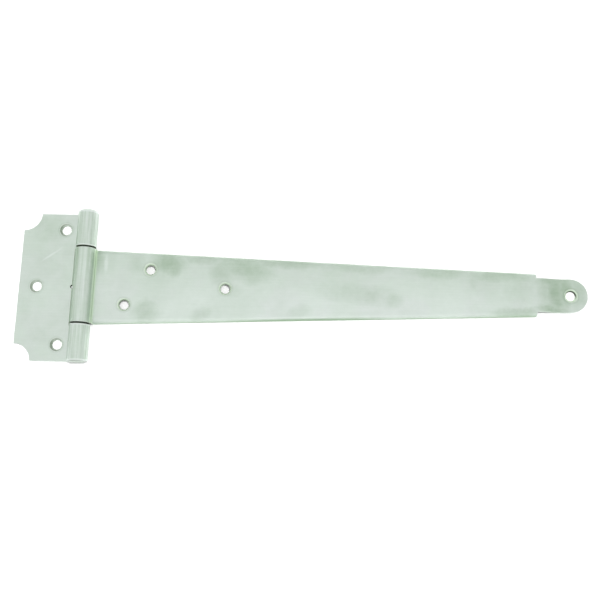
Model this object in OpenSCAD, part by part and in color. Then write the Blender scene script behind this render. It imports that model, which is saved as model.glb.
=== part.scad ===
// T hinge: a rectangular frame plate and a long tapered strap turning on one riveted pin.
// It lies on its back: +X runs along the strap, +Y along the pin, +Z out of the front.
// The origin is on the mounting plane, below the middle of the pin's axis.

/* [Sheet and barrel] */
// Thickness of the steel sheet
sheet = 2; // [1.6:0.1:2.4]
// Diameter of the hinge pin
pin_d = 8; // [7:0.5:10]
// Running clearance of the pin in a rolled knuckle, on the radius
pin_clearance = 0.1; // [0.05:0.01:0.1]
// End play between neighbouring knuckles
knuckle_gap = 1; // [0.3:0.1:1.5]
// Slit between the end of a roll and the sheet it comes back to
seam_gap = 0.4; // [0.3:0.1:0.5]
// Gap between the middle knuckle and the plate's notch
notch_gap = 2; // [0.5:0.1:3]
// Height of the pin's upper riveted head
upper_head_h = 1; // [1:0.1:3]
// How far the upper head spreads past the pin, on the radius
upper_head_spread = 1.5; // [1:0.1:1.8]
// Height of the bevel around the upper head
upper_head_bevel = 0.8; // [0.3:0.1:0.9]
// Height of the pin's lower riveted head
lower_head_h = 0.6; // [0.5:0.1:2]
// How far the lower head spreads past the pin, on the radius
lower_head_spread = 0.7; // [0.4:0.1:1.8]
// Height of the bevel around the lower head
lower_head_bevel = 0.4; // [0.2:0.1:0.4]

/* [Frame plate] */
// Width of the plate from the pin's axis to its free edge
plate_w = 41; // [36:0.5:60]
// Height of the plate along the pin
plate_h = 92; // [80:1:120]
// Radius of the hollow cut out of each free corner
scallop_r = 10.5; // [5:0.1:14]
// Radius of the small nick in the middle of the notch's edge
nick_r = 1; // [0.5:0.1:2]
// Distance of the two inner holes from the barrel
inner_hole_x = 8.6; // [6:0.1:12]
// Distance of the two inner holes from the plate's ends
inner_hole_end = 10.1; // [8:0.1:14]
// Distance of the outer hole from the free edge
outer_hole_x = 10.7; // [8:0.1:14]

/* [Strap] */
// Length of the strap from the pin's axis to its tip
strap_l = 305; // [250:1:400]
// Width of the strap at the barrel, and length of the middle knuckle
strap_root_w = 46; // [40:0.5:50]
// Width of the strap at its shoulders
strap_end_w = 26; // [22:0.1:32]
// Height of the strap's flat web above the mounting plane
web_raise = 2.5; // [2:0.1:3]
// Outer radius of the strap's turned-down long edges
edge_r = 3; // [2.2:0.1:3.4]
// Width of the flat tongue past the shoulders
tongue_w = 20.5; // [16:0.1:21]
// Length of the tongue past the shoulders
tongue_l = 31; // [30:0.5:50]
// Distance of the tongue's step down from the shoulders
drop_gap = 3.5; // [3:0.5:8]
// Length of the tongue's step down
drop_l = 9.5; // [8:0.5:12]
// Length that each bend of the step down takes from its straight parts
drop_bend = 3.5; // [1:0.5:4]
// Distance of the lower root hole from the pin's axis
lower_root_hole_x = 25.2; // [22:0.1:30]
// Distance of the upper root hole from the pin's axis
upper_root_hole_x = 40.2; // [36:0.1:50]
// Distance of the root holes from the strap's centre line
root_hole_y = 11; // [8:0.1:13]
// Distance of the middle hole from the pin's axis
middle_hole_x = 86.4; // [60:0.1:160]
// Distance of the tip hole from the tip
tip_hole_end = 10; // [9:0.5:14]

/* [Screw holes] */
// Diameter of a screw hole
hole_d = 5.7; // [4.5:0.1:6]
// Diameter of a countersink at the face
sink_d = 8.3; // [7.5:0.1:8.6]

/* [Hidden] */
$fn = 96;
// Overshoot of a cut past the face it leaves by
past = 1;
// Straight pieces that make up one bend
bend_steps = 8;
bore_r = pin_d / 2 + pin_clearance;
barrel_r = bore_r + sheet;
axis_z = barrel_r;
// The slit starts just inside the bore, clear of the line where bore and sheet touch
seam_x = bore_r / 4;
middle_half = strap_root_w / 2;
outer_from = middle_half + knuckle_gap;
outer_to = plate_h / 2;
notch_x = barrel_r + notch_gap;
shoulder_x = strap_l - tongue_l;
web_top = web_raise + sheet;
drop_from = shoulder_x + drop_gap;
drop_to = drop_from + drop_l;
// Each long edge runs straight from the barrel to its shoulder
edge_run = shoulder_x - barrel_r;
edge_lean = atan((strap_root_w - strap_end_w) / 2 / edge_run);
edge_l = edge_run / cos(edge_lean);
// Width across Y that one sheet thickness takes at a leaning edge
flange_y = sheet / cos(edge_lean);
sink_depth = (sink_d - hole_d) / 2;

// Extrude a profile drawn in X and Z along the pin's direction
module along_pin(from, to) {
    translate([0, to, 0])
        rotate([90, 0, 0])
            linear_extrude(to - from)
                children();
}

// Section of a rolled knuckle whose sheet leaves towards +X, with its back at height level
module rolled_edge(tail, level) {
    difference() {
        union() {
            translate([0, axis_z])
                circle(barrel_r);
            translate([0, level])
                square([tail, sheet]);
        }
        translate([0, axis_z])
            circle(bore_r);
        translate([seam_x, level + sheet])
            square([barrel_r, seam_gap]);
    }
}

// Countersunk screw hole through a sheet whose front face is at height top
module screw_hole(x, y, top) {
    translate([x, y, top - sheet - past])
        cylinder(d = hole_d, h = sheet + 2 * past);
    translate([x, y, top - sink_depth])
        cylinder(d1 = hole_d, d2 = sink_d + 2 * past, h = sink_depth + past);
}

module frame_plate() {
    color([0.72, 0.76, 0.74])
        difference() {
            union() {
                translate([-plate_w, -plate_h / 2, 0])
                    cube([plate_w - notch_x, plate_h, sheet]);
                for (side = [0, 1])
                    mirror([0, side, 0])
                        along_pin(outer_from, outer_to)
                            mirror([1, 0])
                                rolled_edge(notch_x + past, 0);
            }
            for (side = [-1, 1])
                translate([-plate_w, side * plate_h / 2, -past])
                    cylinder(r = scallop_r, h = sheet + 2 * past);
            for (side = [-1, 1])
                screw_hole(-barrel_r - inner_hole_x, side * (plate_h / 2 - inner_hole_end), sheet);
            screw_hole(-plate_w + outer_hole_x, 0, sheet);
            translate([-notch_x, 0, -past])
                cylinder(r = nick_r, h = sheet + 2 * past);
        }
}

// Points that round the corner at b between a and c, over the length reach on each side
function round_corner(a, b, c, reach) =
    let (
        start = b + reach * (a - b) / norm(a - b),
        end = b + reach * (c - b) / norm(c - b)
    )
    [for (i = [0:bend_steps])
        let (t = i / bend_steps)
        (1 - t) * (1 - t) * start + 2 * t * (1 - t) * b + t * t * end];

// Side view of the tongue's back face: level with the web, then down to the mounting plane
function back_path() =
    let (
        root = [shoulder_x - past, web_raise],
        brow = [drop_from, web_raise],
        toe = [drop_to, 0],
        tip = [strap_l, 0]
    )
    concat(
        [root],
        round_corner(root, brow, toe, drop_bend),
        round_corner(brow, toe, tip, drop_bend),
        [tip]
    );

// The same line on the front face
function front_path() = [for (point = back_path()) point + [0, sheet]];

function reversed(points) = [for (i = [len(points) - 1:-1:0]) points[i]];

// Plan of the tapered web, from inside the roll to the shoulders
module taper_plan() {
    root = strap_root_w / 2;
    end = strap_end_w / 2;
    polygon([
        [bore_r, -root],
        [barrel_r, -root],
        [shoulder_x, -end],
        [shoulder_x, end],
        [barrel_r, root],
        [bore_r, root]
    ]);
}

// Plan of the turned-down upper long edge, one sheet thick
module flange_plan() {
    root = strap_root_w / 2;
    end = strap_end_w / 2;
    polygon([
        [barrel_r, root - flange_y],
        [shoulder_x, end - flange_y],
        [shoulder_x, end],
        [barrel_r, root]
    ]);
}

// Plan of the round-ended tongue, with a neck that reaches back into the web between its bends
module tongue_plan() {
    neck_w = min(tongue_w, strap_end_w - 2 * edge_r);
    translate([shoulder_x - past, -neck_w / 2])
        square([2 * past, neck_w]);
    translate([shoulder_x, -tongue_w / 2])
        square([tongue_l - tongue_w / 2, tongue_w]);
    translate([strap_l - tongue_w / 2, 0])
        circle(d = tongue_w);
}

// Corner that the bend takes off along the upper long edge
module edge_round_cut() {
    translate([barrel_r, strap_root_w / 2, 0])
        rotate([0, 0, -edge_lean])
            rotate([90, 0, 90])
                linear_extrude(edge_l + past)
                    difference() {
                        translate([-edge_r, web_top - edge_r])
                            square(edge_r + past);
                        translate([-edge_r, web_top - edge_r])
                            circle(edge_r);
                    }
}

// The strap from the barrel to its shoulders: a raised web with turned-down long edges
module tapered_channel() {
    difference() {
        union() {
            translate([0, 0, web_raise])
                linear_extrude(sheet)
                    taper_plan();
            for (side = [0, 1])
                mirror([0, side, 0])
                    linear_extrude(web_top)
                        flange_plan();
        }
        for (side = [0, 1])
            mirror([0, side, 0])
                edge_round_cut();
    }
}

// The strap past its shoulders, stepping down to the mounting plane
module tongue() {
    intersection() {
        along_pin(-middle_half, middle_half)
            polygon(concat(back_path(), reversed(front_path())));
        linear_extrude(web_top)
            tongue_plan();
    }
}

module strap() {
    color([0.7, 0.74, 0.72])
        difference() {
            union() {
                along_pin(-middle_half, middle_half)
                    rolled_edge(barrel_r, web_raise);
                tapered_channel();
                tongue();
            }
            screw_hole(lower_root_hole_x, -root_hole_y, web_top);
            screw_hole(upper_root_hole_x, root_hole_y, web_top);
            screw_hole(middle_hole_x, 0, web_top);
            screw_hole(strap_l - tip_hole_end, 0, sheet);
        }
}

// One riveted head of the pin, standing on the end of the barrel at z = 0
module riveted_head(height, spread, bevel) {
    head_r = pin_d / 2 + spread;
    cylinder(r = head_r, h = height - bevel);
    translate([0, 0, height - bevel])
        cylinder(r1 = head_r, r2 = head_r - bevel, h = bevel);
}

module hinge_pin() {
    color([0.78, 0.8, 0.79])
        translate([0, 0, axis_z])
            rotate([-90, 0, 0]) {
                translate([0, 0, -plate_h / 2])
                    cylinder(d = pin_d, h = plate_h);
                translate([0, 0, plate_h / 2])
                    riveted_head(upper_head_h, upper_head_spread, upper_head_bevel);
                translate([0, 0, -plate_h / 2])
                    mirror([0, 0, 1])
                        riveted_head(lower_head_h, lower_head_spread, lower_head_bevel);
            }
}

frame_plate();
strap();
hinge_pin();
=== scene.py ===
"""Looks of a plated steel T hinge: a frame plate and a long tapered strap turn on one riveted pin.

Objects are in metres in the part's own frame: +X along the strap, +Y along the pin, +Z towards the
viewer, with the back of the hinge at z = 0. The finishes work in millimetres in the same frame.
"""

import math

import bmesh
import bpy
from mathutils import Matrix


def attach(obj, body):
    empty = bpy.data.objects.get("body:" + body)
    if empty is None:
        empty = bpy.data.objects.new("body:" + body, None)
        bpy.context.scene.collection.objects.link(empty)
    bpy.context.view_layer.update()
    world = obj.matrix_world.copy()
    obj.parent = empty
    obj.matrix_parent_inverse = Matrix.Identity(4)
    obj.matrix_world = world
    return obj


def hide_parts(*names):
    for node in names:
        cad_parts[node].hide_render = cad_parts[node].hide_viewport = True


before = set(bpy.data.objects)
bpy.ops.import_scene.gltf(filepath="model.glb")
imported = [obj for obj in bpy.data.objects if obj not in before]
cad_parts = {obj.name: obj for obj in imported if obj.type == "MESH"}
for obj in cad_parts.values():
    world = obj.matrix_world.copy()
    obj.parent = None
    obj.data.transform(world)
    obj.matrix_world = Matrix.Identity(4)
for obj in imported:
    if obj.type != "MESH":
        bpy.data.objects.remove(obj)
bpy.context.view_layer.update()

MM = 0.001

# Rounding that blanking, rolling and plating leave on an edge, how sharp an edge must be to get it, and
# the steps that it is made of.
SHEET_ROUND = 0.22 * MM
SHEET_SHARP_DEG = 40.0
PIN_ROUND = 0.08 * MM
PIN_SHARP_DEG = 25.0
ROUND_STEPS = 3

# How a copied solid is cleaned: points this close are joined, faces this level become one face, and faces
# that meet at less than the last angle are shaded as one curve.
JOIN_WITHIN = 0.001 * MM
LEVEL_WITHIN_DEG = 0.3
SMOOTH_UP_TO_DEG = 35.0

# Slack in telling whether a point lies on a step of the strap, in millimetres.
STEP_SLACK_X = 0.001
STEP_SLACK_Y = 0.01
STEP_SLACK_Z = 0.1

# Attribute that is 1 on the rounded edges.
WORN_EDGE = "worn_edge"

# Camera: where it stands, how it leans, its lens and sensor, and the nearest thing that it sees.
CAMERA_PLACE = (143.9 * MM, -88.7 * MM, 431.4 * MM)
CAMERA_LEAN_DEG = (10.98, 1.33, 1.39)
CAMERA_LENS_MM = 43.3
CAMERA_SENSOR_MM = 36.0
CAMERA_NEAREST = 10.0 * MM

# Table: half its width, how far it lies below the hinge, and the two whites that it drifts between.
TABLE_HALF_WIDTH = 4.0
TABLE_DROP = 0.05 * MM
TABLE_WHITE = (0.74, 0.74, 0.74)
TABLE_BRIGHT_WHITE = (0.76, 0.76, 0.76)

# Lamp that lights only the table.
LAMP_STRENGTH = 2.6
LAMP_SOFTNESS_DEG = 4.0
LAMP_LEAN_DEG = (-2.5, 18.0, 0.0)

# Light of the room's walls: straight overhead, at the horizon, and how high up it is full, as the Z of
# a direction.
ROOM_WHITE = (1.0, 1.0, 1.0)
ROOM_OVERHEAD = 1.0
ROOM_HORIZON = 0.85
ROOM_FULL_FROM = 0.75

# Soft panel low in front of the hinge.
PANEL_WIDTH = 1.0
PANEL_HEIGHT = 0.35
PANEL_POWER = 0.35
PANEL_PLACE = (0.10, -0.80, 0.55)
PANEL_LEAN_DEG = (55.5, 0.0, 0.0)

# Plating colours, as linear red, green and blue.
PALE_PLATING = (0.72, 0.80, 0.745)
GREY_PLATING = (0.728, 0.792, 0.755)
GREEN_PLATING = (0.34, 0.46, 0.33)
# The burnished colour is edge wear and also a painted highlight. The two dark colours are painted shade,
# and the pale green is painted light.
BURNISHED_EDGE_AND_HIGHLIGHT = (0.80, 0.84, 0.81)
DARK_PAINTED_SHADE = (0.045, 0.062, 0.038)
OLIVE_PAINTED_SHADE = (0.16, 0.20, 0.13)
PALE_GREEN_PAINTED_LIGHT = (0.72, 0.88, 0.67)

# Sizes of the sheet, the holes, the barrel and the plate, in millimetres.
SHEET = 2.0
HOLE_RADIUS = 2.85
SINK_RADIUS = 4.15
BARREL_RADIUS = 6.1
NOTCH_X = -8.1
NICK_RADIUS = 1.0
PLATE_END = 46.0
OUTER_KNUCKLE_START = 24.0

# Outline of the strap, in millimetres: half its width at the barrel, which is half the length of its
# knuckle as well, its shoulders and half its width there, half the width of its tongue, the top of its
# web, and how fast its long edges come together.
ROOT_HALF_WIDTH = 23.0
SHOULDER_X = 274.0
SHOULDER_HALF_WIDTH = 13.0
TONGUE_HALF_WIDTH = 10.25
WEB_TOP = 4.5
EDGE_SLOPE = (ROOT_HALF_WIDTH - SHOULDER_HALF_WIDTH) / (SHOULDER_X - BARREL_RADIUS)

# Screw holes: x and y of the axis, how far the middle of the opening that the painted shade leaves lies
# from it in x and y, and how dark the crescent of painted shade is that this leaves on the other side of
# the wall.
PLATE_HOLES = [
    (-14.7, 35.9, 0.7, 0.1, 0.0),
    (-14.7, -35.9, 0.7, 0.1, 0.0),
    (-30.3, 0.0, 0.7, 0.1, 0.0),
]
STRAP_HOLES = [
    (25.2, -11.0, 0.3, -0.6, 0.65),
    (40.2, 11.0, 0.2, -0.6, 0.40),
    (86.4, 0.0, 0.1, -0.6, 0.40),
    (295.0, 0.0, -0.3, -0.8, 0.95),
]

# How strongly painted shade darkens one side of the countersinks and the hole walls. Where it is weaker,
# the cones get a pale painted light.
PLATE_SINK_SHADE = 0.60
STRAP_SINK_SHADE = 0.0

# Tarnished patches: x, y, half length, half width, turn in degrees and strength.
PLATE_PATCHES = [
    (-24.0, 36.0, 18.0, 13.0, 20.0, 0.24),
    (-31.0, 40.0, 9.0, 6.0, 30.0, 0.26),
    (-13.0, 22.0, 7.0, 12.0, 0.0, 0.14),
    (-36.0, -14.0, 7.0, 18.0, 0.0, 0.12),
    (-24.0, -32.0, 14.0, 8.0, -15.0, 0.14),
]
STRAP_PATCHES = [
    # The first strap patch is painted shade beside the barrel's upper half.
    (8.6, 17.0, 4.6, 10.0, 0.0, 0.34),
    (31.0, 15.0, 8.0, 9.0, 0.0, 0.20),
    (51.0, 15.5, 13.0, 8.0, -6.0, 0.50),
    (55.0, 12.0, 7.0, 6.0, 30.0, 0.42),
    (72.0, 18.0, 16.0, 5.0, -3.0, 0.32),
    (84.0, 10.0, 10.0, 12.0, 0.0, 0.32),
    (98.0, 13.0, 22.0, 10.0, -14.0, 0.40),
    (103.0, 9.0, 9.0, 9.0, 20.0, 0.32),
    (124.0, 16.6, 30.0, 5.0, -2.2, 0.36),
    (162.0, 14.6, 34.0, 4.4, -2.2, 0.26),
    (216.0, 11.6, 24.0, 4.6, -2.2, 0.32),
    (252.0, 10.2, 30.0, 4.8, -2.2, 0.36),
    (236.0, 7.0, 5.0, 9.0, 0.0, 0.22),
    (39.0, -14.5, 12.0, 10.0, 20.0, 0.40),
    (73.0, -16.0, 10.0, 6.0, 10.0, 0.30),
    (90.0, -2.0, 10.0, 8.0, 0.0, 0.20),
    (131.0, -13.5, 11.0, 5.0, 12.0, 0.22),
    (168.0, -2.0, 32.0, 9.0, -6.0, 0.25),
    (174.0, -3.0, 9.0, 8.0, 0.0, 0.32),
    (188.0, -6.0, 8.0, 7.0, 0.0, 0.28),
    (262.0, -11.2, 20.0, 5.0, 2.2, 0.46),
    (264.0, 0.0, 18.0, 16.0, 0.0, 0.22),
    (279.0, 0.0, 8.0, 14.0, 0.0, 0.38),
    (286.0, 0.0, 9.0, 16.0, 0.0, 0.66),
    (291.0, 2.0, 9.0, 14.0, 0.0, 0.62),
    (284.0, 8.6, 14.0, 5.0, 4.0, 0.52),
    (284.0, -8.6, 14.0, 5.0, -4.0, 0.68),
    (299.0, 0.0, 10.0, 14.0, 0.0, 0.42),
]

# One bright mark on each sheet: x, y, half length, half width, turn in degrees and how far it wanders.
# The plate's is a long scratch, and the strap's is a painted highlight where the sheet levels out beside
# the barrel.
PLATE_MARK = (-22.8, 19.7, 10.0, 1.0, 35.5, 1.2)
STRAP_HIGHLIGHT = (12.8, 14.0, 1.6, 8.0, 0.0, 0.8)

# Noises in the sheets' plating, on the pin and on the table: waves per millimetre, detail and roughness.
# They all swing about the same middle.
CLOUDS = (0.035, 4.0, 0.55)
TINT = (0.055, 3.0, 0.5)
MOTTLE = (0.30, 5.0, 0.65)
SPECKLE = (2.4, 3.0, 0.5)
PAINTED_LIGHT_CLOUDS = (0.45, 4.0, 0.6)
PIN_HAMMERING = (0.9, 3.0, 0.5)
PIN_MOTTLE = (0.6, 4.0, 0.6)
TABLE_DRIFT = (0.01, 2.0, 0.5)
NOISE_MIDDLE = 0.5

# The tint is read this far away, so that it doesn't follow the clouds.
TINT_SHIFT = (37.0, 11.0, 5.0)

# Grains: waves per millimetre along X, Y and Z, few of them along the way that the grain is drawn out.
ROLLING = (0.05, 1.1, 1.1)
PLATE_STREAKS = (0.9, 0.03, 0.9)
STRAP_STREAKS = (0.8, 0.03, 0.8)
EDGE_LINE = (0.03, 0.2, 0.2)

# Fine scratches in two directions: grain, turn in degrees, and how high the grain rises where they lie.
FINE_SCRATCHES = [
    ((0.06, 3.0, 3.0), 31.0, (0.71, 0.76)),
    ((0.05, 3.4, 3.4), -14.0, (0.72, 0.77)),
]

# Ragged outlines of the patches: waves per millimetre and how far they push, in two sizes. Those of a
# bright mark have one size of wave.
LARGE_RAGS = (0.06, 7.0)
SMALL_RAGS = (0.5, 1.6)
MARK_WAVES = 0.2

# Detail and roughness of the noise that pushes outlines about, and of the one drawn out to a grain.
RAG_NOISE = (4.0, 0.6)
GRAIN_NOISE = (4.0, 0.5)

# Depth of the grain in the plating, and of the hammer marks on the pin.
GRAIN_DEPTH = 0.01 * MM
HAMMER_DEPTH = 0.05 * MM

# Bands around a hole, in millimetres from its axis, each from its start to its end.
# The halo places painted shade around each countersink, the cone a painted highlight on it, and the hole
# wall painted shade.
HALO = (SINK_RADIUS - 0.1, SINK_RADIUS + 1.5)
CONE = (SINK_RADIUS - 0.3, SINK_RADIUS - 0.1)
HOLE_WALL = (HOLE_RADIUS + 0.01, HOLE_RADIUS + 0.14)
CRESCENT_OUTSIDE = (HOLE_RADIUS + 0.3, HOLE_RADIUS + 0.7)

# Bands around a hole, in millimetres from the middle of the opening that its painted shade leaves.
SINK_SHADE_BAND = (HOLE_RADIUS - 0.6, SINK_RADIUS + 0.2)
CRESCENT_INSIDE = (HOLE_RADIUS + 0.2, HOLE_RADIUS + 0.7)

# Bands on the plate and its knuckles, in millimetres, each from its start to its end. They place painted
# shade on the knuckles' left side, at their foot and at their ends, painted highlights on their rims, and
# painted light on the notch's edge.
PLATE_KNUCKLE_X = (NOTCH_X + 0.2, NOTCH_X + 0.6)
PLATE_KNUCKLE_Z = (SHEET + 0.2, SHEET + 1.5)
PLATE_FOOT_X = (NOTCH_X + 0.5, NOTCH_X + 2.0)
PLATE_FOOT_Z = (SHEET + 1.0, SHEET + 6.0)
PLATE_LEFT_X = (-5.0, 1.0)
INNER_RIM_Y = (OUTER_KNUCKLE_START + 0.3, OUTER_KNUCKLE_START + 1.1)
OUTER_RIM_Y = (PLATE_END - 1.3, PLATE_END - 0.4)
INNER_END_Y = (OUTER_KNUCKLE_START + 0.02, OUTER_KNUCKLE_START + 0.15)
OUTER_END_Y = (PLATE_END - 0.12, PLATE_END - 0.02)
NOTCH_EDGE_X = (NOTCH_X - 0.25, NOTCH_X - 0.02)
NOTCH_EDGE_Y = (OUTER_KNUCKLE_START, OUTER_KNUCKLE_START + 0.2)

# Band around the plate's nick, in millimetres from its middle.
NICK_WALL = (NICK_RADIUS, NICK_RADIUS + 0.25)

# Bands on the strap and its knuckle, in millimetres, each from its start to its end. They place painted
# shade on the knuckle's flanks, along the bends and the lower edge and at the knuckle's ends, and painted
# light in the corner beside the knuckle.
STRAP_KNUCKLE_X = (BARREL_RADIUS - 0.2, BARREL_RADIUS + 0.4)
STRAP_LEFT_X = (-4.5, -0.5)
STRAP_RIGHT_X = (4.0, 5.4)
STRAP_RIGHT_Z = (6.0, 7.6)
UPPER_HALF_Y = (-11.0, 13.0)
LONG_EDGE_ACROSS = (ROOT_HALF_WIDTH - 2.4, ROOT_HALF_WIDTH - 1.9)
LONG_EDGE_END_X = (SHOULDER_X - 0.4, SHOULDER_X)
BEND_Z = (3.4, 4.5)
LOW_BEND_Z = (2.6, 4.2)
LOW_EDGE_Z = (1.4, 2.8)
STRAP_END_X = (BARREL_RADIUS - 0.1, BARREL_RADIUS + 0.1)
STRAP_END_Y = (ROOT_HALF_WIDTH - 0.15, ROOT_HALF_WIDTH - 0.02)
CORNER_START_X = (5.3, 5.7)
CORNER_END_X = (6.2, 7.4)
CORNER_TOP_Z = (6.9, 8.1)
CORNER_GREENER_Y = (-8.0, 20.0)

# Darkest run of painted shade along the strap's lower long edge, in millimetres: its middle, and the band
# where it fades.
DARK_RUN_X = 136.0
DARK_RUN_FADE = (15.0, 55.0)

# Bands along the pin, in millimetres: where its heads start, and where its lower half ends.
PIN_HEAD_Y = (PLATE_END - 0.4, PLATE_END - 0.1)
PIN_LOWER_Y = (-1.0, 1.0)

# Sockets of a Mix node that mixes colours.
MIX_SHARE = 0
MIX_COLOUR = 6
MIX_OTHER_COLOUR = 7
MIX_RESULT = 2

# Farther than any point of the hinge, and a size that makes heights count for nothing, in millimetres.
FAR = 1000.0
ENDLESS = 1.0e6


class Value:
    """A number that changes over a surface. Arithmetic on it adds Math nodes."""

    def __init__(self, finish, socket):
        self.finish = finish
        self.socket = socket

    def __add__(self, other):
        return self.finish.math("ADD", self, other)

    def __radd__(self, other):
        return self.finish.math("ADD", other, self)

    def __sub__(self, other):
        return self.finish.math("SUBTRACT", self, other)

    def __rsub__(self, other):
        return self.finish.math("SUBTRACT", other, self)

    def __mul__(self, other):
        return self.finish.math("MULTIPLY", self, other)

    def __rmul__(self, other):
        return self.finish.math("MULTIPLY", other, self)

    def __abs__(self):
        return self.finish.math("ABSOLUTE", self, 0.0)

    def at_least(self, other):
        return self.finish.math("MAXIMUM", self, other)

    def at_most(self, other):
        return self.finish.math("MINIMUM", self, other)


class Finish:
    """The looks of a material, or of the room's walls: one surface and the nodes that feed it."""

    def __init__(self, owner, surface="Principled BSDF"):
        owner.use_nodes = True
        self.owner = owner
        self.tree = owner.node_tree
        self.surface = self.tree.nodes[surface]

    def feed(self, socket, value):
        """Links a node's output to a socket, or sets the socket's own number, vector or colour."""
        if isinstance(value, Value):
            self.tree.links.new(value.socket, socket)
        elif socket.type == "RGBA" and len(value) == 3:
            socket.default_value = (*value, 1.0)
        else:
            socket.default_value = value

    def node(self, kind, settings, sockets, output=0):
        """A new node: its settings first, then its sockets. Gives back one of its outputs."""
        made = self.tree.nodes.new(kind)
        for setting, value in settings.items():
            setattr(made, setting, value)
        for key, value in sockets.items():
            self.feed(made.inputs[key], value)
        return Value(self, made.outputs[output])

    def math(self, operation, first, second):
        return self.node("ShaderNodeMath", {"operation": operation}, {0: first, 1: second})

    def vector(self, operation, first, second):
        return self.node("ShaderNodeVectorMath", {"operation": operation}, {0: first, 1: second})

    def mixed(self, share, colour, other):
        """A colour that goes to the other one as the share goes from 0 to 1."""
        return self.node(
            "ShaderNodeMix",
            {"data_type": "RGBA", "clamp_factor": True},
            {MIX_SHARE: share, MIX_COLOUR: colour, MIX_OTHER_COLOUR: other},
            output=MIX_RESULT,
        )

    def millimetres(self):
        """The point on the piece, in millimetres."""
        place = self.node("ShaderNodeTexCoord", {}, {}, output="Object")
        return self.vector("MULTIPLY", place, (1.0 / MM, 1.0 / MM, 1.0 / MM))

    def split(self, place):
        """The X, Y and Z of a place, as three numbers."""
        across = self.node("ShaderNodeSeparateXYZ", {}, {0: place}, output="X")
        outputs = across.socket.node.outputs
        return across, Value(self, outputs["Y"]), Value(self, outputs["Z"])

    def noise(self, place, per_mm, detail, roughness, output=0):
        return self.node(
            "ShaderNodeTexNoise",
            {},
            {"Vector": place, "Scale": per_mm, "Detail": detail, "Roughness": roughness},
            output=output,
        )

    def grain(self, place, per_mm, turn_deg=0.0):
        """Noise drawn out along the directions that have the smaller numbers in per_mm."""
        turned = self.node(
            "ShaderNodeMapping",
            {"vector_type": "POINT"},
            {"Vector": place, "Rotation": (0.0, 0.0, math.radians(turn_deg))},
        )
        return self.noise(self.vector("MULTIPLY", turned, per_mm), 1.0, *GRAIN_NOISE)

    def shaken(self, place, per_mm, reach):
        """The place pushed about by noise, so that what is drawn on it gets a ragged outline."""
        middle = (NOISE_MIDDLE, NOISE_MIDDLE, NOISE_MIDDLE)
        push = self.vector("SUBTRACT", self.noise(place, per_mm, *RAG_NOISE, output="Color"), middle)
        return self.vector("ADD", place, self.vector("MULTIPLY", push, (reach, reach, reach)))

    def rise(self, value, low, high):
        """0 below low, 1 above high, and smooth between them."""
        return self.node(
            "ShaderNodeMapRange",
            {"interpolation_type": "SMOOTHSTEP", "clamp": True},
            {"Value": value, "From Min": low, "From Max": high},
        )

    def fall(self, value, low, high):
        """1 below low, 0 above high, and smooth between them."""
        return 1.0 - self.rise(value, low, high)

    def distance(self, place, x, y, half_length=1.0, half_width=1.0, turn_deg=0.0):
        """How far a place is from an upright axis at x, y: 1 on an oval of these half sizes."""
        oval = self.node(
            "ShaderNodeMapping",
            {"vector_type": "TEXTURE"},
            {
                "Vector": place,
                "Location": (x, y, 0.0),
                "Rotation": (0.0, 0.0, math.radians(turn_deg)),
                "Scale": (half_length, half_width, ENDLESS),
            },
        )
        return self.node("ShaderNodeVectorMath", {"operation": "LENGTH"}, {0: oval}, output="Value")

    def attribute(self, name):
        return self.node("ShaderNodeAttribute", {"attribute_name": name}, {}, output="Fac")

    def bump(self, height, depth):
        return self.node("ShaderNodeBump", {}, {"Height": height, "Distance": depth, "Strength": 1.0})

    def show(self, **sockets):
        """Sets the surface's own sockets, written with _ for a space."""
        for key, value in sockets.items():
            self.feed(self.surface.inputs[key.replace("_", " ")], value)


# In the finishes, a plain number that multiplies a mask or a noise says how strongly it counts, and a
# plain pair in rise or fall says between which values the mask lies.


def patchy_tarnish(finish, place, patches, mottle):
    """Faint clouds all over, and the stronger patches with ragged outlines."""
    ragged = finish.shaken(finish.shaken(place, *LARGE_RAGS), *SMALL_RAGS)
    tarnish_and_shade = 0.03 + finish.rise(finish.noise(place, *CLOUDS), 0.35, 0.75) * 0.14
    for x, y, half_length, half_width, turn_deg, strength in patches:
        out = finish.distance(ragged, x, y, half_length, half_width, turn_deg)
        patch = finish.fall(out, 0.15, 1.25) * (0.75 + 0.50 * mottle)
        tarnish_and_shade = tarnish_and_shade.at_least(patch * strength)
    return tarnish_and_shade


def around_holes(finish, place, holes):
    """How far the nearest hole's axis and the nearest middle of the painted shade's opening are, and the
    crescents of painted shade on one side of the holes' walls.
    """
    nearest = FAR
    aside = FAR
    crescents = 0.0
    for x, y, shift_x, shift_y, darkness in holes:
        out = finish.distance(place, x, y)
        off = finish.distance(place, x + shift_x, y + shift_y)
        crescent = finish.fall(out, *CRESCENT_OUTSIDE) * finish.rise(off, *CRESCENT_INSIDE)
        nearest = out.at_most(nearest)
        aside = off.at_most(aside)
        crescents = (crescent * darkness).at_least(crescents)
    return nearest, aside, crescents


def fine_scratches(finish, place):
    """1 along thin scratches that cross the sheet in two directions."""
    scratches = 0.0
    for per_mm, turn_deg, heights in FINE_SCRATCHES:
        scratches = finish.rise(finish.grain(place, per_mm, turn_deg), *heights).at_least(scratches)
    return scratches


def bright_mark_or_highlight(finish, place, mark_or_highlight):
    """1 along one bright mark: a scratch on the plate, and a painted highlight on the strap."""
    x, y, half_length, half_width, turn_deg, wander = mark_or_highlight
    wandering = finish.shaken(place, MARK_WAVES, wander)
    return finish.fall(finish.distance(wandering, x, y, half_length, half_width, turn_deg), 0.2, 1.0)


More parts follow.
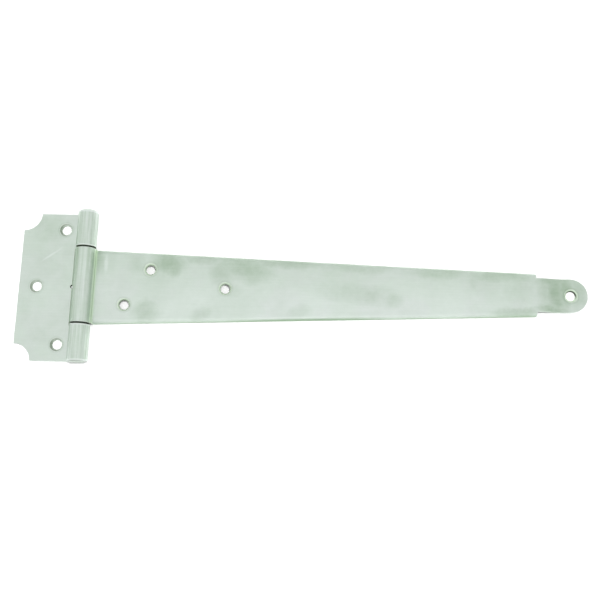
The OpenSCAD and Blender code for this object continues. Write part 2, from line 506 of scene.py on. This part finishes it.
def plated(finish, place, patches, holes, mark_or_highlight, sink_shade, form_tarnish_and_shade, gap_shade, painted_light):
    """Zinc plate over rolled steel: rolling grain, green tarnish, marked holes and rubbed edges.

    The form argument follows the piece's own form and carries tarnish, painted shade and painted
    highlights; the gap mask is 1 where painted shade fills a narrow gap, and the pale mask is 1 where a
    pale green diffuse coat is painted light over the metal.
    """
    rolling = finish.grain(place, ROLLING)
    mottle = finish.noise(place, *MOTTLE)
    speckle = finish.noise(place, *SPECKLE)
    tint = finish.noise(finish.vector("ADD", place, TINT_SHIFT), *TINT)
    scratches = fine_scratches(finish, place)
    # Edge wear that is also a painted highlight along the rounded edges.
    rubbed_and_highlit = finish.attribute(WORN_EDGE) * finish.rise(mottle, 0.35, 0.6)

    nearest, aside, crescents = around_holes(finish, place, holes)
    halo = finish.fall(nearest, *HALO)
    cone = finish.fall(nearest, *CONE)
    in_hole = finish.fall(nearest, *HOLE_WALL)
    # Painted shade on one side of the countersinks.
    countersink_shade = cone * finish.rise(aside, *SINK_SHADE_BAND) * (0.7 + 0.6 * mottle) * sink_shade
    # Painted shade in the hole walls, in the crescents and in the narrow gaps.
    painted_shade = (in_hole * sink_shade * 0.5).at_least(crescents).at_least(gap_shade)
    # Painted light: a pale green diffuse coat in shaded places, and on the cones that carry no painted
    # shade.
    dull = painted_light.at_least(cone * (1.0 - sink_shade) * 0.7)

    uneven_rolling = rolling - NOISE_MIDDLE
    uneven_mottle = mottle - NOISE_MIDDLE
    uneven_speckle = speckle - NOISE_MIDDLE
    # The halo adds painted shade around the countersinks, and the cone's paling is a painted highlight.
    tarnish_and_shade = patchy_tarnish(finish, place, patches, mottle) + form_tarnish_and_shade + halo * 0.20 - cone * 0.55
    tarnish_and_shade = tarnish_and_shade + uneven_rolling * 0.10 + uneven_mottle * 0.12 + uneven_speckle * 0.06
    # On the strap, the bright mark is a painted highlight.
    tarnish_and_shade = tarnish_and_shade - scratches * 0.16 - bright_mark_or_highlight(finish, place, mark_or_highlight) * 0.20

    colour = finish.mixed(finish.rise(tint, 0.42, 0.62), PALE_PLATING, GREY_PLATING)
    colour = finish.mixed(tarnish_and_shade, colour, GREEN_PLATING)
    colour = finish.mixed(rubbed_and_highlit * 0.55, colour, BURNISHED_EDGE_AND_HIGHLIGHT)
    colour = finish.mixed(dull, colour, PALE_GREEN_PAINTED_LIGHT)
    colour = finish.mixed(countersink_shade, colour, OLIVE_PAINTED_SHADE)
    colour = finish.mixed(painted_shade, colour, DARK_PAINTED_SHADE)
    roughness = 0.44 + tarnish_and_shade * 0.10 + uneven_mottle * 0.14 + uneven_rolling * 0.10
    height = rolling * 0.5 + speckle * 0.3 + mottle * 0.6 - scratches * 0.4
    finish.show(
        Base_Color=colour,
        Metallic=1.0 - dull * 0.7,
        Roughness=roughness - rubbed_and_highlit * 0.08 + painted_shade * 0.25,
        Normal=finish.bump(height, GRAIN_DEPTH),
    )
    return finish.owner


def plate_tarnish_and_shade(finish, place):
    """The plate is a little dull all over and streaked along its rolled knuckles. Painted shade darkens
    the left side of the knuckles and their foot, and a painted highlight makes their rims pale.
    """
    x, y, z = finish.split(place)
    streaks = finish.grain(place, PLATE_STREAKS) - NOISE_MIDDLE
    knuckle = finish.rise(z, *PLATE_KNUCKLE_Z)
    foot_shade = finish.fall(z, *PLATE_FOOT_Z) * finish.rise(x, *PLATE_FOOT_X)
    left_side_shade = finish.fall(x, *PLATE_LEFT_X)
    rim_highlight = finish.fall(abs(y), *INNER_RIM_Y).at_least(finish.rise(abs(y), *OUTER_RIM_Y))
    dull = 0.08 + left_side_shade * 0.12 + streaks * 1.1 - rim_highlight * 0.55
    return 0.16 + knuckle * dull + foot_shade * left_side_shade * 0.20


def plate_gap_shade(finish, place):
    """Painted shade in the narrow gaps at the inner ends of the plate's knuckles and in the nick, and
    more faintly at the outer ends.
    """
    x, y, _ = finish.split(place)
    knuckle = finish.rise(x, *PLATE_KNUCKLE_X)
    inner_end = finish.fall(abs(y), *INNER_END_Y) * knuckle
    outer_end = finish.rise(abs(y), *OUTER_END_Y) * knuckle
    nick = finish.fall(finish.distance(place, NOTCH_X, 0.0), *NICK_WALL)
    return (inner_end * 0.7).at_least(nick).at_least(outer_end * 0.3)


def plate_notch_painted_light(finish, place):
    """Painted light: a pale green diffuse coat on the notch's edge, close to the middle knuckle, that
    lifts the shade in the slit there.
    """
    x, y, _ = finish.split(place)
    return finish.fall(abs(y), *NOTCH_EDGE_Y) * finish.rise(x, *NOTCH_EDGE_X)


def strap_tarnish_and_shade(finish, place):
    """A greener middle knuckle with painted shade on its flanks, a darker upper half, painted shade along
    the upper and lower bends, and a painted shadow line along the lower edge.
    """
    x, y, z = finish.split(place)
    streaks = finish.grain(place, STRAP_STREAKS) - NOISE_MIDDLE
    knuckle = finish.fall(x, *STRAP_KNUCKLE_X)
    web = 1.0 - knuckle
    left_side_shade = finish.fall(x, *STRAP_LEFT_X)
    right_flank_shade = finish.rise(x, *STRAP_RIGHT_X) * finish.rise(z, *STRAP_RIGHT_Z)
    upper = finish.rise(y, *UPPER_HALF_Y)
    # Distance from the centre line, straightened so that the long edges keep the root's half width.
    across = abs(y) + (x - BARREL_RADIUS) * EDGE_SLOPE
    long_edge = finish.rise(across, *LONG_EDGE_ACROSS) * finish.fall(x, *LONG_EDGE_END_X) * web
    bend_shade = long_edge * finish.fall(z, *BEND_Z)
    low_bend_shade = long_edge * finish.fall(z, *LOW_BEND_Z) * (1.0 - upper)
    low_edge_shadow = long_edge * finish.fall(z, *LOW_EDGE_Z)
    darkest_shade_run = finish.fall(abs(x - DARK_RUN_X), *DARK_RUN_FADE)
    shadow_line = finish.rise(finish.grain(place, EDGE_LINE), 0.3, 0.6)
    return (
        0.03
        + knuckle * (0.22 + left_side_shade * 0.28 + right_flank_shade * 0.30 + streaks)
        + upper * web * 0.18
        + bend_shade * upper * 0.16
        + low_bend_shade * (0.34 + darkest_shade_run * 0.70)
        + low_edge_shadow * shadow_line * 0.9
    )


def strap_gap_shade(finish, place):
    """Painted shade on the middle knuckle's two ends, which face the plate's knuckles across narrow gaps.
    """
    x, y, _ = finish.split(place)
    return finish.rise(abs(y), *STRAP_END_Y) * finish.fall(x, *STRAP_END_X) * 0.75


def strap_corner_painted_light(finish, place):
    """Painted light and shade: a pale green diffuse coat in the corner between the middle knuckle and the
    web, greenest at its upper end, which stands in for how the corner is lit.
    """
    x, y, z = finish.split(place)
    corner = finish.rise(x, *CORNER_START_X) * finish.fall(x, *CORNER_END_X)
    corner = corner * finish.fall(z, *CORNER_TOP_Z)
    cloudy = 0.55 + 0.9 * finish.noise(place, *PAINTED_LIGHT_CLOUDS)
    return corner * (0.70 + 0.20 * finish.rise(y, *CORNER_GREENER_Y)) * cloudy


def plate_finish():
    """The plate's plating, with painted shade on one side of its countersinks and one long scratch."""
    finish = Finish(bpy.data.materials.new("plated_plate_sheet"))
    place = finish.millimetres()
    return plated(
        finish,
        place,
        PLATE_PATCHES,
        PLATE_HOLES,
        PLATE_MARK,
        PLATE_SINK_SHADE,
        plate_tarnish_and_shade(finish, place),
        plate_gap_shade(finish, place),
        plate_notch_painted_light(finish, place),
    )


def strap_finish():
    """The strap's plating, with countersinks made pale by painted light, crescents of painted shade in
    its holes and a painted highlight beside the barrel.
    """
    finish = Finish(bpy.data.materials.new("plated_strap_sheet"))
    place = finish.millimetres()
    return plated(
        finish,
        place,
        STRAP_PATCHES,
        STRAP_HOLES,
        STRAP_HIGHLIGHT,
        STRAP_SINK_SHADE,
        strap_tarnish_and_shade(finish, place),
        strap_gap_shade(finish, place),
        strap_corner_painted_light(finish, place),
    )


def pin_finish():
    """Plated round bar with hammered heads. Painted shade makes the lower head greyer and darkens the
    shank between them, where it shows in the gaps.
    """
    finish = Finish(bpy.data.materials.new("plated_pin_steel"))
    place = finish.millimetres()
    _, y, _ = finish.split(place)
    hammering = finish.noise(place, *PIN_HAMMERING)
    mottle = finish.noise(place, *PIN_MOTTLE)
    head = finish.rise(abs(y), *PIN_HEAD_Y)
    lower_head = head * finish.fall(y, *PIN_LOWER_Y)
    shank = 1.0 - head
    dull = 0.25 + finish.rise(mottle, 0.3, 0.8) * 0.4
    colour = finish.mixed(dull, PALE_PLATING, GREEN_PLATING)
    colour = finish.mixed(finish.attribute(WORN_EDGE) * 0.6, colour, BURNISHED_EDGE_AND_HIGHLIGHT)
    # Painted shade: the shank darkens where it shows between the knuckles, and the lower head greys.
    colour = finish.mixed((shank * 0.82).at_least(lower_head * 0.22), colour, DARK_PAINTED_SHADE)
    finish.show(
        Base_Color=colour,
        Metallic=1.0,
        Roughness=0.38 + (mottle - NOISE_MIDDLE) * 0.2 + shank * 0.3,
        Normal=finish.bump(hammering + mottle * 0.5, HAMMER_DEPTH),
    )
    return finish.owner


def table_finish():
    """Plain white that drifts a little from place to place."""
    finish = Finish(bpy.data.materials.new("white_table"))
    drift = finish.noise(finish.millimetres(), *TABLE_DRIFT)
    finish.show(
        Base_Color=finish.mixed(drift, TABLE_WHITE, TABLE_BRIGHT_WHITE),
        Roughness=0.9,
        Specular_IOR_Level=0.0,
    )
    return finish.owner


def in_scene(name, data):
    """A new object in the scene."""
    made = bpy.data.objects.new(name, data)
    bpy.context.scene.collection.objects.link(made)
    return made


def meshed(name, shape, finish):
    """The shape as a mesh with its finish. The shape itself is freed."""
    mesh = bpy.data.meshes.new(name)
    shape.to_mesh(mesh)
    shape.free()
    mesh.materials.append(finish)
    return mesh


def leaning(turns_deg):
    """Turns about X, Y and Z, from degrees to radians."""
    return [math.radians(turn) for turn in turns_deg]


def too_fine(edge):
    """True on two steps of the strap that are too fine to round.

    Its turned-down edges start with one beside the barrel, and its tongue's face meets their bends in
    the other at the shoulders.
    """
    ends = [vert.co / MM for vert in edge.verts]
    beside_barrel = all(abs(end.x - BARREL_RADIUS) < STEP_SLACK_X for end in ends)
    at_shoulder = all(
        abs(end.x - SHOULDER_X) < STEP_SLACK_X
        and abs(end.y) < TONGUE_HALF_WIDTH + STEP_SLACK_Y
        and end.z > WEB_TOP - STEP_SLACK_Z
        for end in ends
    )
    return beside_barrel or at_shoulder


def finished_piece(name, node, rounding, sharper_than_deg, finish):
    """A copy of a CAD node with its triangles joined, its edges rounded and a finish on it."""
    shape = bmesh.new()
    shape.from_mesh(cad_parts[node].data)
    bmesh.ops.remove_doubles(shape, verts=shape.verts, dist=JOIN_WITHIN)
    bmesh.ops.dissolve_limit(
        shape, angle_limit=math.radians(LEVEL_WITHIN_DEG), verts=shape.verts, edges=shape.edges
    )
    sharp = [
        edge
        for edge in shape.edges
        if len(edge.link_faces) == 2
        and edge.calc_face_angle() > math.radians(sharper_than_deg)
        and not too_fine(edge)
    ]
    rounded = bmesh.ops.bevel(
        shape,
        geom=sharp,
        offset=rounding,
        offset_type="OFFSET",
        affect="EDGES",
        segments=ROUND_STEPS,
        profile=0.5,
        material=-1,
        clamp_overlap=False,
    )
    worn = shape.loops.layers.float.new(WORN_EDGE)
    for face in rounded["faces"]:
        for corner in face.loops:
            corner[worn] = 1.0
    mesh = meshed(name, shape, finish)
    mesh.shade_smooth()
    mesh.set_sharp_from_angle(angle=math.radians(SMOOTH_UP_TO_DEG))
    piece = in_scene(name, mesh)
    flats = piece.modifiers.new("flat_faces_stay_flat", "WEIGHTED_NORMAL")
    flats.keep_sharp = True
    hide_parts(node)
    return piece


def pale_floor():
    """A plain table under the hinge, which its own lamp makes white."""
    shape = bmesh.new()
    bmesh.ops.create_grid(shape, x_segments=1, y_segments=1, size=TABLE_HALF_WIDTH)
    bmesh.ops.translate(shape, verts=shape.verts, vec=(0.0, 0.0, -TABLE_DROP))
    floor = in_scene("floor", meshed("floor", shape, table_finish()))
    return floor


def table_lamp(floor):
    """A soft lamp overhead that lights only the table."""
    lamp = bpy.data.lights.new("table_lamp", "SUN")
    lamp.energy = LAMP_STRENGTH
    lamp.angle = math.radians(LAMP_SOFTNESS_DEG)
    holder = in_scene("table_lamp", lamp)
    holder.rotation_euler = leaning(LAMP_LEAN_DEG)
    lit = bpy.data.collections.new("lit_by_table_lamp")
    lit.objects.link(floor)
    holder.light_linking.receiver_collection = lit


def soft_room():
    """White studio walls: brightest overhead and dimmer towards the horizon."""
    world = bpy.data.worlds.new("white_room")
    bpy.context.scene.world = world
    walls = Finish(world, "Background")
    direction = walls.node("ShaderNodeTexCoord", {}, {}, output="Generated")
    _, _, height = walls.split(direction)
    overhead = walls.rise(height, 0.0, ROOM_FULL_FROM)
    walls.show(Color=ROOM_WHITE, Strength=ROOM_HORIZON + (ROOM_OVERHEAD - ROOM_HORIZON) * overhead)


def front_panel():
    """A soft panel low in front of the hinge, which draws light lines along the rims that face it."""
    lamp = bpy.data.lights.new("front_panel", "AREA")
    lamp.shape = "RECTANGLE"
    lamp.size = PANEL_WIDTH
    lamp.size_y = PANEL_HEIGHT
    lamp.energy = PANEL_POWER
    panel = in_scene("front_panel", lamp)
    panel.location = PANEL_PLACE
    panel.rotation_euler = leaning(PANEL_LEAN_DEG)


def studio_camera():
    """The camera, above the strap and a little in front of it."""
    lens = bpy.data.cameras.new("camera")
    lens.lens = CAMERA_LENS_MM
    lens.sensor_width = CAMERA_SENSOR_MM
    lens.clip_start = CAMERA_NEAREST
    camera = in_scene("camera", lens)
    camera.location = CAMERA_PLACE
    camera.rotation_euler = leaning(CAMERA_LEAN_DEG)
    bpy.context.scene.camera = camera


plate = finished_piece("frame_plate_plated", "frame_plate", SHEET_ROUND, SHEET_SHARP_DEG, plate_finish())
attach(plate, "plate")

strap = finished_piece("strap_plated", "strap", SHEET_ROUND, SHEET_SHARP_DEG, strap_finish())
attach(strap, "strap")

pin = finished_piece("riveted_pin", "hinge_pin", PIN_ROUND, PIN_SHARP_DEG, pin_finish())
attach(pin, "plate")

table_lamp(pale_floor())
soft_room()
front_panel()
studio_camera()
bpy.context.scene.view_settings.view_transform = "Standard"
